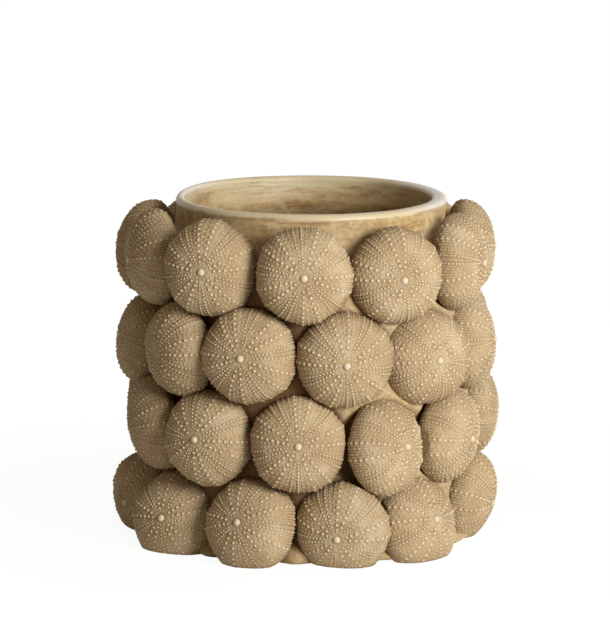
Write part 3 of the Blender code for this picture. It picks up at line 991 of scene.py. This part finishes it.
def pot_wash(nodes, colours):
    """Cream at the lip and the upper inside, wearing to honey tan with brown streaks."""
    place = nodes.add("ShaderNodeTexCoord").outputs["Object"]
    split = nodes.add("ShaderNodeSeparateXYZ")
    nodes.put(place, split.inputs[0])
    inside, edge, chips, bare, below = (
        nodes.attribute(layer) for layer in ("inside", "edge", "chips", "bare", "below")
    )
    wash = add_wash(nodes, place, 26.0, 800.0)
    stretch = nodes.add("ShaderNodeMapping")
    stretch.inputs["Scale"].default_value = (1.0, 1.0, 7.0)
    nodes.put(place, stretch.inputs["Vector"])
    stretched = stretch.outputs["Vector"]
    streaks = nodes.noise(stretched, 22.0, 7.0, 0.68, 0.25)
    fine = nodes.noise(stretched, 120.0, 4.0, 0.65, 0.4)
    blots = nodes.noise(place, 60.0, 6.0, 0.68, 0.9)
    lumps = nodes.noise(place, 480.0, 2.0, 0.5)

    cream = cream_mask(nodes, split.outputs["Z"], streaks, inside)
    honey = honey_wash(nodes, colours, place, streaks, blots, wash["Patches"])
    pale = nodes.mix(nodes.remap(fine, 0.42, 0.68, 0.0, 0.45), colours.pot_cream, colours.pot_straw)
    colour = nodes.mix(cream, honey, pale)

    seam = nodes.times(cream, nodes.less(4.0, nodes.times(cream, 4.0)))
    seam = nodes.times(seam, nodes.remap(blots, 0.42, 0.58, 0.0, 0.80))
    seam = nodes.times(seam, nodes.less(1.0, nodes.times(inside, 0.75)))
    colour = nodes.mix(seam, colour, colours.pot_brown)
    spots = nodes.remap(nodes.noise(place, 85.0, 6.0, 0.75, 1.4), 0.60, 0.74, 0.0, 0.60)
    spots = nodes.times(spots, nodes.remap(streaks, 0.50, 0.62, 1.0, 0.0))
    colour = nodes.mix(nodes.times(spots, inside), colour, colours.pot_brown)
    colour = nodes.mix(crack_mask(nodes, split.outputs, blots, inside), colour, colours.pot_brown)
    colour = nodes.mix(chips, colour, colours.pot_cream)
    # Painted sheen on the lip's left and right ends.
    painted_sheen = nodes.times(edge, nodes.remap(fine, 0.25, 0.60, 1.0, 0.6))
    colour = nodes.mix(painted_sheen, colour, colours.lip_sheen_colour)

    web = nodes.mix(nodes.remap(lumps, 0.35, 0.62), colours.shell_stain, colours.shell_ground)
    web = nodes.mix(nodes.remap(blots, 0.46, 0.62, 0.0, 0.55), web, colours.pot_honey)
    colour = nodes.mix(below, colour, web)
    # Painted shade: the hollow wall between the shells is painted near black.
    recess = nodes.times(bare, nodes.less(0.92, inside), clamp=True)
    colour = nodes.mix(recess, colour, colours.recess_shade_colour)

    rough = nodes.most(nodes.remap(cream, 0.0, 1.0, 0.58, 0.40), nodes.times(below, 0.85))
    gloss = nodes.remap(below, 0.0, 1.0, 0.50, 0.08)
    relief = nodes.plus(fine, nodes.times(wash["Height"], 0.3))
    relief = nodes.plus(relief, nodes.times(nodes.times(lumps, below), 4.0))
    normal = nodes.bump(relief, 0.45)
    return {"Base Color": colour, "Roughness": rough, "Specular IOR Level": gloss, "Normal": normal}


# The stage


def seen_directly(nodes):
    """Whether a ray comes from the camera or through a gloss or a glass."""
    rays = nodes.add("ShaderNodeLightPath").outputs
    return nodes.most(nodes.most(rays["Is Camera Ray"], rays["Is Glossy Ray"]), rays["Is Transmission Ray"])


class CACHEPOT_OT_set_stage(bpy.types.Operator):
    """Adds the floor, the lamps, the even light and the camera"""

    bl_idname = "cachepot.set_stage"
    bl_label = "Set the Stage"

    def execute(self, context):
        stage = context.scene.cachepot_stage
        azimuth = radians(stage.key_azimuth)
        elevation = radians(stage.key_elevation)
        key_place = (
            KEY_REACH * cos(elevation) * sin(azimuth),
            -KEY_REACH * cos(elevation) * cos(azimuth),
            0.1 + KEY_REACH * sin(elevation),
        )
        self.add_floor()
        self.add_lamp("key_lamp", key_place, stage.key_power, 0.8)
        self.add_lamp("top_lamp", TOP_PLACE, stage.top_power, 1.4)
        self.add_world(stage)
        self.add_camera(context.scene)
        context.scene.view_settings.view_transform = "Standard"
        return {"FINISHED"}

    def add_lamp(self, name, place, power, width):
        """A round lamp that faces the middle of the pot."""
        lamp = bpy.data.lights.new(name, "AREA")
        lamp.energy = power
        lamp.shape = "DISK"
        lamp.size = width
        obj = add_object(name, lamp)
        obj.location = place
        obj.rotation_euler = (Vector(LAMP_TARGET) - Vector(place)).to_track_quat("-Z", "Y").to_euler()

    def add_camera(self, scene):
        camera = bpy.data.cameras.new("camera")
        camera.lens = CAMERA_LENS
        camera.sensor_width = 36.0
        camera.clip_end = 50.0
        holder = add_object("camera", camera)
        holder.location = CAMERA_PLACE
        holder.rotation_euler = (radians(CAMERA_TILT), 0.0, 0.0)
        scene.camera = holder

    def add_floor(self):
        mesh = bpy.data.meshes.new("floor")
        mesh.from_pydata([(-7, -4, 0), (7, -4, 0), (7, 9, 0), (-7, 9, 0)], [], [(0, 1, 2, 3)])
        floor = add_object("floor", mesh)
        floor.location = (0.0, 0.0, -0.0003)
        material, nodes, shader = new_material("white_floor")
        nodes.feed(shader, {"Base Color": (0.85, 0.85, 0.85), "Roughness": 0.9, "Specular IOR Level": 0.1})
        away = nodes.add("ShaderNodeVectorMath", operation="LENGTH")
        nodes.put(nodes.add("ShaderNodeTexCoord").outputs["Object"], away.inputs[0])
        glow = nodes.add("ShaderNodeEmission")
        nodes.put(nodes.remap(away.outputs["Value"], 0.15, 0.45, 1.05, 1.10), glow.inputs["Strength"])
        blend = nodes.add("ShaderNodeMixShader")
        for number, value in enumerate((nodes.times(seen_directly(nodes), 0.9), shader.outputs[0], glow.outputs[0])):
            nodes.put(value, blend.inputs[number])
        nodes.put(blend.outputs[0], material.node_tree.nodes["Material Output"].inputs["Surface"])
        mesh.materials.append(material)

    def add_world(self, stage):
        world = bpy.data.worlds.new("even_light")
        bpy.context.scene.world = world
        world.use_nodes = True
        nodes = Nodes(world.node_tree)
        seen = seen_directly(nodes)
        colour = nodes.mix(seen, stage.world_colour, (1.0, 1.0, 1.0))
        strength = nodes.remap(seen, 0.0, 1.0, stage.world_light, 1.0)
        nodes.feed(world.node_tree.nodes["Background"], {"Color": colour, "Strength": strength})


class CACHEPOT_PT_builder(bpy.types.Panel):
    """Lists the steps and sizes of the cachepot"""

    bl_label = "Urchin Cachepot"
    bl_space_type = "VIEW_3D"
    bl_region_type = "UI"
    bl_category = "Cachepot"

    def draw(self, context):
        layout = self.layout
        layout.operator("cachepot.turn_pot")
        for name, angle in RINGS:
            layout.operator("cachepot.set_shells", text=f"Set the {name.title()} Ring").ring = name
        layout.operator("cachepot.set_stage")
        for group in SETTINGS:
            column = layout.box().column()
            settings = getattr(context.scene, group)
            for key in setting_names(settings):
                column.prop(settings, key)


SETTINGS = {
    "cachepot_shells": CachepotShellSizes,
    "cachepot_pot": CachepotPotSizes,
    "cachepot_colours": CachepotColours,
    "cachepot_stage": CachepotStage,
}
CLASSES = (
    *SETTINGS.values(),
    CACHEPOT_OT_turn_pot,
    CACHEPOT_OT_set_shells,
    CACHEPOT_OT_set_stage,
    CACHEPOT_PT_builder,
)


def register():
    for cls in CLASSES:
        bpy.utils.register_class(cls)
    for name, group in SETTINGS.items():
        setattr(bpy.types.Scene, name, PointerProperty(type=group))


def unregister():
    for name in reversed(SETTINGS):
        delattr(bpy.types.Scene, name)
    for cls in reversed(CLASSES):
        bpy.utils.unregister_class(cls)


def main():
    register()
    bpy.ops.cachepot.turn_pot()
    for name, angle in RINGS:
        bpy.ops.cachepot.set_shells(ring=name)
    bpy.ops.cachepot.set_stage()


if __name__ == "__main__":
    main()
